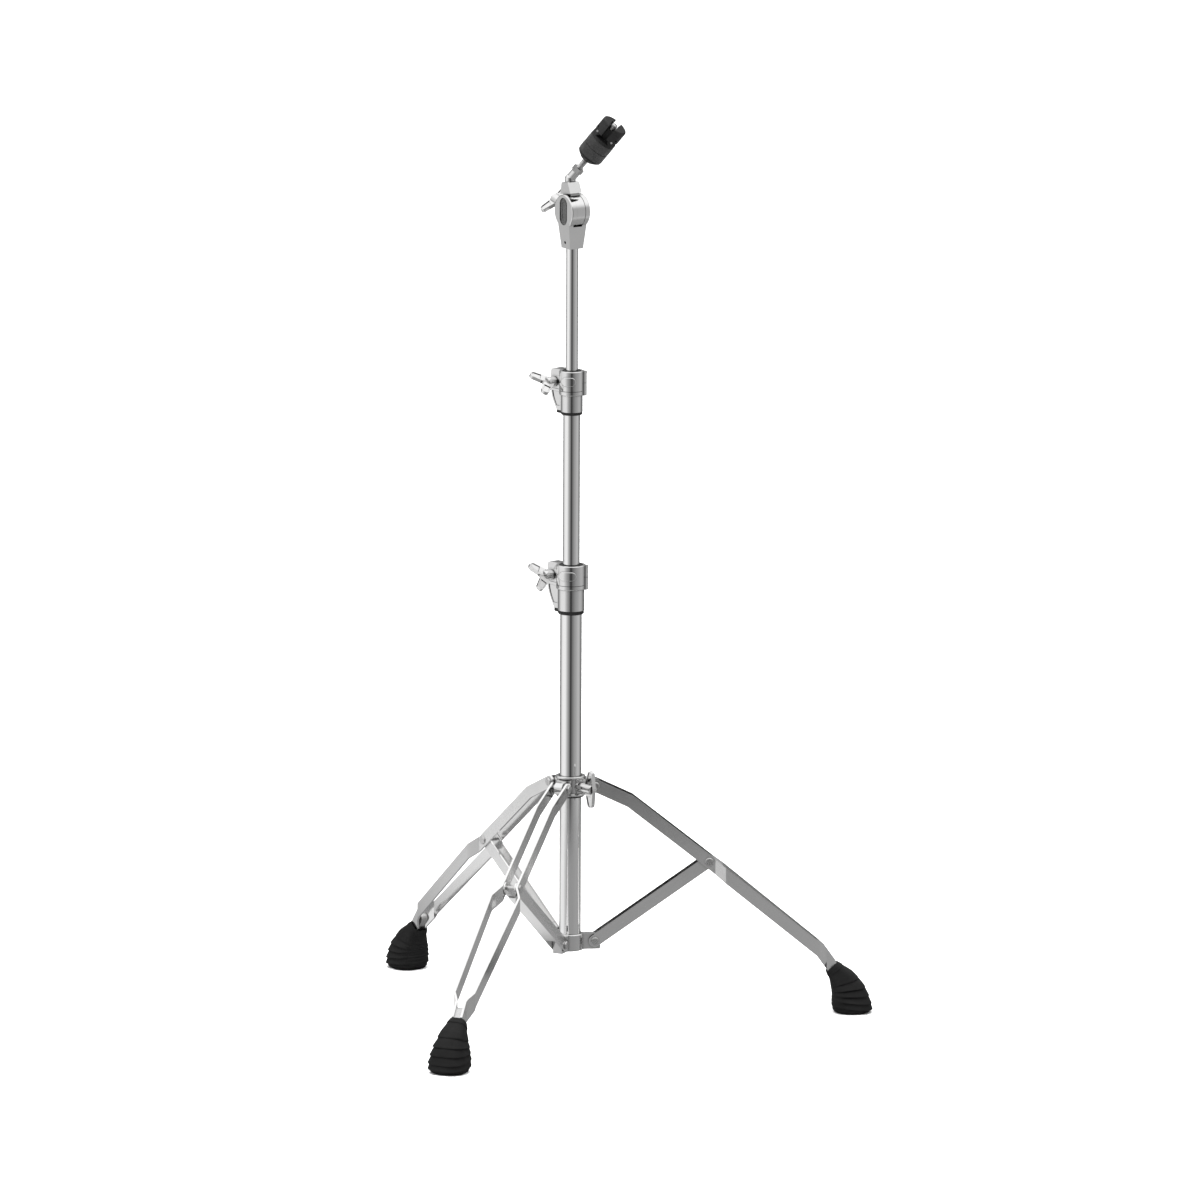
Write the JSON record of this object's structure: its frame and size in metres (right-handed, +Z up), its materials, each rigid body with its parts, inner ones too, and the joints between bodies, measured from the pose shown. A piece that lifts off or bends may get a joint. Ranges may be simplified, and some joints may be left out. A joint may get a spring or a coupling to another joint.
{
  "type": "cymbal stand",
  "caption": "Straight cymbal stand: folding double-strip tripod, telescoping chrome tubes with hinged clamps, disc tilter and felt cymbal seat under a quick-release nut.",
  "frame": {"origin": "on the floor, on the axis of the tubes", "axes": "+Z up the tubes, +X towards leg 1"},
  "size_m": [0.6177, 0.708, 1.1969],
  "materials": {
    "tube_chrome": "polished chrome plating",
    "cast_chrome": "chrome plating on die-cast metal, slightly soft",
    "strip_chrome": "chrome plating on rolled steel strip",
    "steel": "zinc or nickel plated steel",
    "dark_steel": "blackened steel",
    "brass": "plain brass",
    "black_nylon": "black nylon",
    "black_plastic": "fine-textured black plastic",
    "badge_enamel": "dark enamel with a plain raised ring",
    "black_rubber": "moulded black rubber with ribs",
    "black_felt": "pressed charcoal felt"
  },
  "bodies": {
    "base": {"base_tube": "tube_chrome", "base_tube_plug": "black_nylon", "lower_leg_bracket": "cast_chrome", "brace_pivot_pins": "steel", "lower_clamp_body": "cast_chrome", "lower_clamp_bushing": "black_nylon", "lower_clamp_hinge_pin": "steel", "lower_clamp_bolt": "steel"},
    "collar": {"leg_collar": "cast_chrome", "leg_collar_bushing": "black_nylon", "leg_pivot_pins": "steel"},
    "collar_screw": {"leg_collar_wing_bolt": "cast_chrome"},
    "lower_gate": {"lower_clamp_gate": "cast_chrome"},
    "lower_wing_nut": {"lower_clamp_wing_nut": "cast_chrome"},
    "middle": {"middle_tube": "tube_chrome", "upper_clamp_body": "cast_chrome", "upper_clamp_bushing": "black_nylon", "upper_clamp_hinge_pin": "steel", "upper_clamp_bolt": "steel"},
    "upper_gate": {"upper_clamp_gate": "cast_chrome"},
    "upper_wing_nut": {"upper_clamp_wing_nut": "cast_chrome"},
    "top": {"top_tube": "tube_chrome", "tilter_body": "cast_chrome", "tilter_badge": "badge_enamel", "tilter_hinge_pin": "steel", "tilter_set_screw": "dark_steel"},
    "disc": {"tilter_arm": "cast_chrome", "tilter_brake_shoe": "brass"},
    "tilter_screw": {"tilter_wing_bolt": "cast_chrome"},
    "rod": {"rod_elbow": "cast_chrome", "rod_lock_nut": "steel", "cymbal_rod": "steel", "cymbal_cup": "black_plastic", "cymbal_sleeve": "black_nylon", "lower_felt": "black_felt"},
    "upper_felt": {"upper_felt": "black_felt"},
    "nut": {"nut_body": "black_plastic", "nut_pins": "steel"},
    "nut_left": {"nut_left_wing": "black_plastic"},
    "nut_right": {"nut_right_wing": "black_plastic"},
    "brace_1": {"brace_1": "strip_chrome"},
    "leg_1": {"leg_1_left_strip": "strip_chrome", "leg_1_right_strip": "strip_chrome", "leg_1_rivets": "steel", "leg_1_tip_plug": "steel", "rubber_foot_1": "black_rubber"},
    "brace_2": {"brace_2": "strip_chrome"},
    "leg_2": {"leg_2_left_strip": "strip_chrome", "leg_2_right_strip": "strip_chrome", "leg_2_rivets": "steel", "leg_2_tip_plug": "steel", "rubber_foot_2": "black_rubber"},
    "brace_3": {"brace_3": "strip_chrome"},
    "leg_3": {"leg_3_left_strip": "strip_chrome", "leg_3_right_strip": "strip_chrome", "leg_3_rivets": "steel", "leg_3_tip_plug": "steel", "rubber_foot_3": "black_rubber"}
  },
  "joints": [
    {"name": "brace_1_fold", "type": "hinge", "parent": "base", "child": "brace_1", "pos_m": [0.032, 0, 0.102], "axis": [0, 1, 0], "range_deg": [-46, 15]},
    {"name": "leg_1_fold", "type": "hinge", "parent": "brace_1", "child": "leg_1", "pos_m": [0.182, 0, 0.206], "axis": [0, 1, 0], "range_deg": [-30, 92]},
    {"name": "collar_slide_pivot", "type": "hinge", "parent": "leg_1", "child": "collar", "pos_m": [0.032, 0, 0.31], "axis": [0, 1, 0], "range_deg": [-46, 15]},
    {"name": "brace_2_fold", "type": "hinge", "parent": "base", "child": "brace_2", "pos_m": [-0.016, 0.02771, 0.102], "axis": [-0.866, -0.5, 0], "range_deg": [-46, 15]},
    {"name": "leg_2_fold", "type": "hinge", "parent": "brace_2", "child": "leg_2", "pos_m": [-0.091, 0.15762, 0.206], "axis": [-0.866, -0.5, 0], "range_deg": [-30, 92]},
    {"name": "brace_3_fold", "type": "hinge", "parent": "base", "child": "brace_3", "pos_m": [-0.016, -0.02771, 0.102], "axis": [0.866, -0.5, 0], "range_deg": [-46, 15]},
    {"name": "leg_3_fold", "type": "hinge", "parent": "brace_3", "child": "leg_3", "pos_m": [-0.091, -0.15762, 0.206], "axis": [0.866, -0.5, 0], "range_deg": [-30, 92]},
    {"name": "collar_screw_turn", "type": "hinge", "parent": "collar", "child": "collar_screw", "pos_m": [0.02181, -0.03233, 0.31], "axis": [0.5592, -0.829, 0], "continuous": true},
    {"name": "lower_gate_spring", "type": "hinge", "parent": "base", "child": "lower_gate", "pos_m": [0.01755, -0.00674, 0.5895], "axis": [0, 0, 1], "range_deg": [0, 0.5], "stiffness_Nm_per_rad": 4},
    {"name": "lower_wing_nut_turn", "type": "hinge", "parent": "base", "child": "lower_wing_nut", "pos_m": [-0.03003, 0.01681, 0.586], "axis": [-0.829, -0.5592, 0], "continuous": true},
    {"name": "upper_gate_spring", "type": "hinge", "parent": "middle", "child": "upper_gate", "pos_m": [0.01475, -0.00566, 0.8465], "axis": [0, 0, 1], "range_deg": [0, 0.5], "stiffness_Nm_per_rad": 4},
    {"name": "upper_wing_nut_turn", "type": "hinge", "parent": "middle", "child": "upper_wing_nut", "pos_m": [-0.02743, 0.01295, 0.843], "axis": [-0.829, -0.5592, 0], "continuous": true},
    {"name": "middle_tube_slide", "type": "slide", "parent": "base", "child": "middle", "axis": [0, 0, 1], "range_m": [-0.19, 0.14]},
    {"name": "top_tube_slide", "type": "slide", "parent": "middle", "child": "top", "axis": [0, 0, 1], "range_m": [-0.155, 0.14]},
    {"name": "tilter_tilt", "type": "hinge", "parent": "top", "child": "disc", "pos_m": [0, 0, 1.0705], "axis": [-0.8854, -0.4648, 0], "range_deg": [-88, 50]},
    {"name": "tilter_screw_turn", "type": "hinge", "parent": "disc", "child": "tilter_screw", "pos_m": [-0.01579, 0.03007, 1.07897], "axis": [-0.451, 0.8591, 0.2419], "continuous": true},
    {"name": "rod_swivel", "type": "hinge", "parent": "disc", "child": "rod", "pos_m": [-0.00268, 0.00511, 1.1116], "axis": [-0.0647, 0.1232, 0.9903], "continuous": true},
    {"name": "nut_slide", "type": "slide", "parent": "rod", "child": "nut", "axis": [0.5762, -0.2831, 0.7667], "range_m": [0, 0.024]},
    {"name": "upper_felt_slide", "type": "slide", "parent": "rod", "child": "upper_felt", "axis": [0.5762, -0.2831, 0.7667], "range_m": [0, 0.012]},
    {"name": "nut_left_wing_open", "type": "hinge", "parent": "nut", "child": "nut_left", "pos_m": [0.05181, -0.02015, 1.16474], "axis": [0.3601, 0.9301, 0.0728], "range_deg": [0, 70]},
    {"name": "nut_right_wing_open", "type": "hinge", "parent": "nut", "child": "nut_right", "pos_m": [0.0342, -0.01453, 1.18005], "axis": [-0.3601, -0.9301, -0.0728], "range_deg": [0, 70]}
  ],
  "couplings": [
    {"joint": "leg_1_fold", "follows": "brace_1_fold", "ratio": -2},
    {"joint": "collar_slide_pivot", "follows": "brace_1_fold", "ratio": 1},
    {"joint": "leg_2_fold", "follows": "brace_1_fold", "ratio": -2},
    {"joint": "brace_2_fold", "follows": "brace_1_fold", "ratio": 1},
    {"joint": "leg_3_fold", "follows": "brace_1_fold", "ratio": -2},
    {"joint": "brace_3_fold", "follows": "brace_1_fold", "ratio": 1},
    {"joint": "upper_felt_slide", "follows": "nut_slide", "ratio": 0.5}
  ]
}
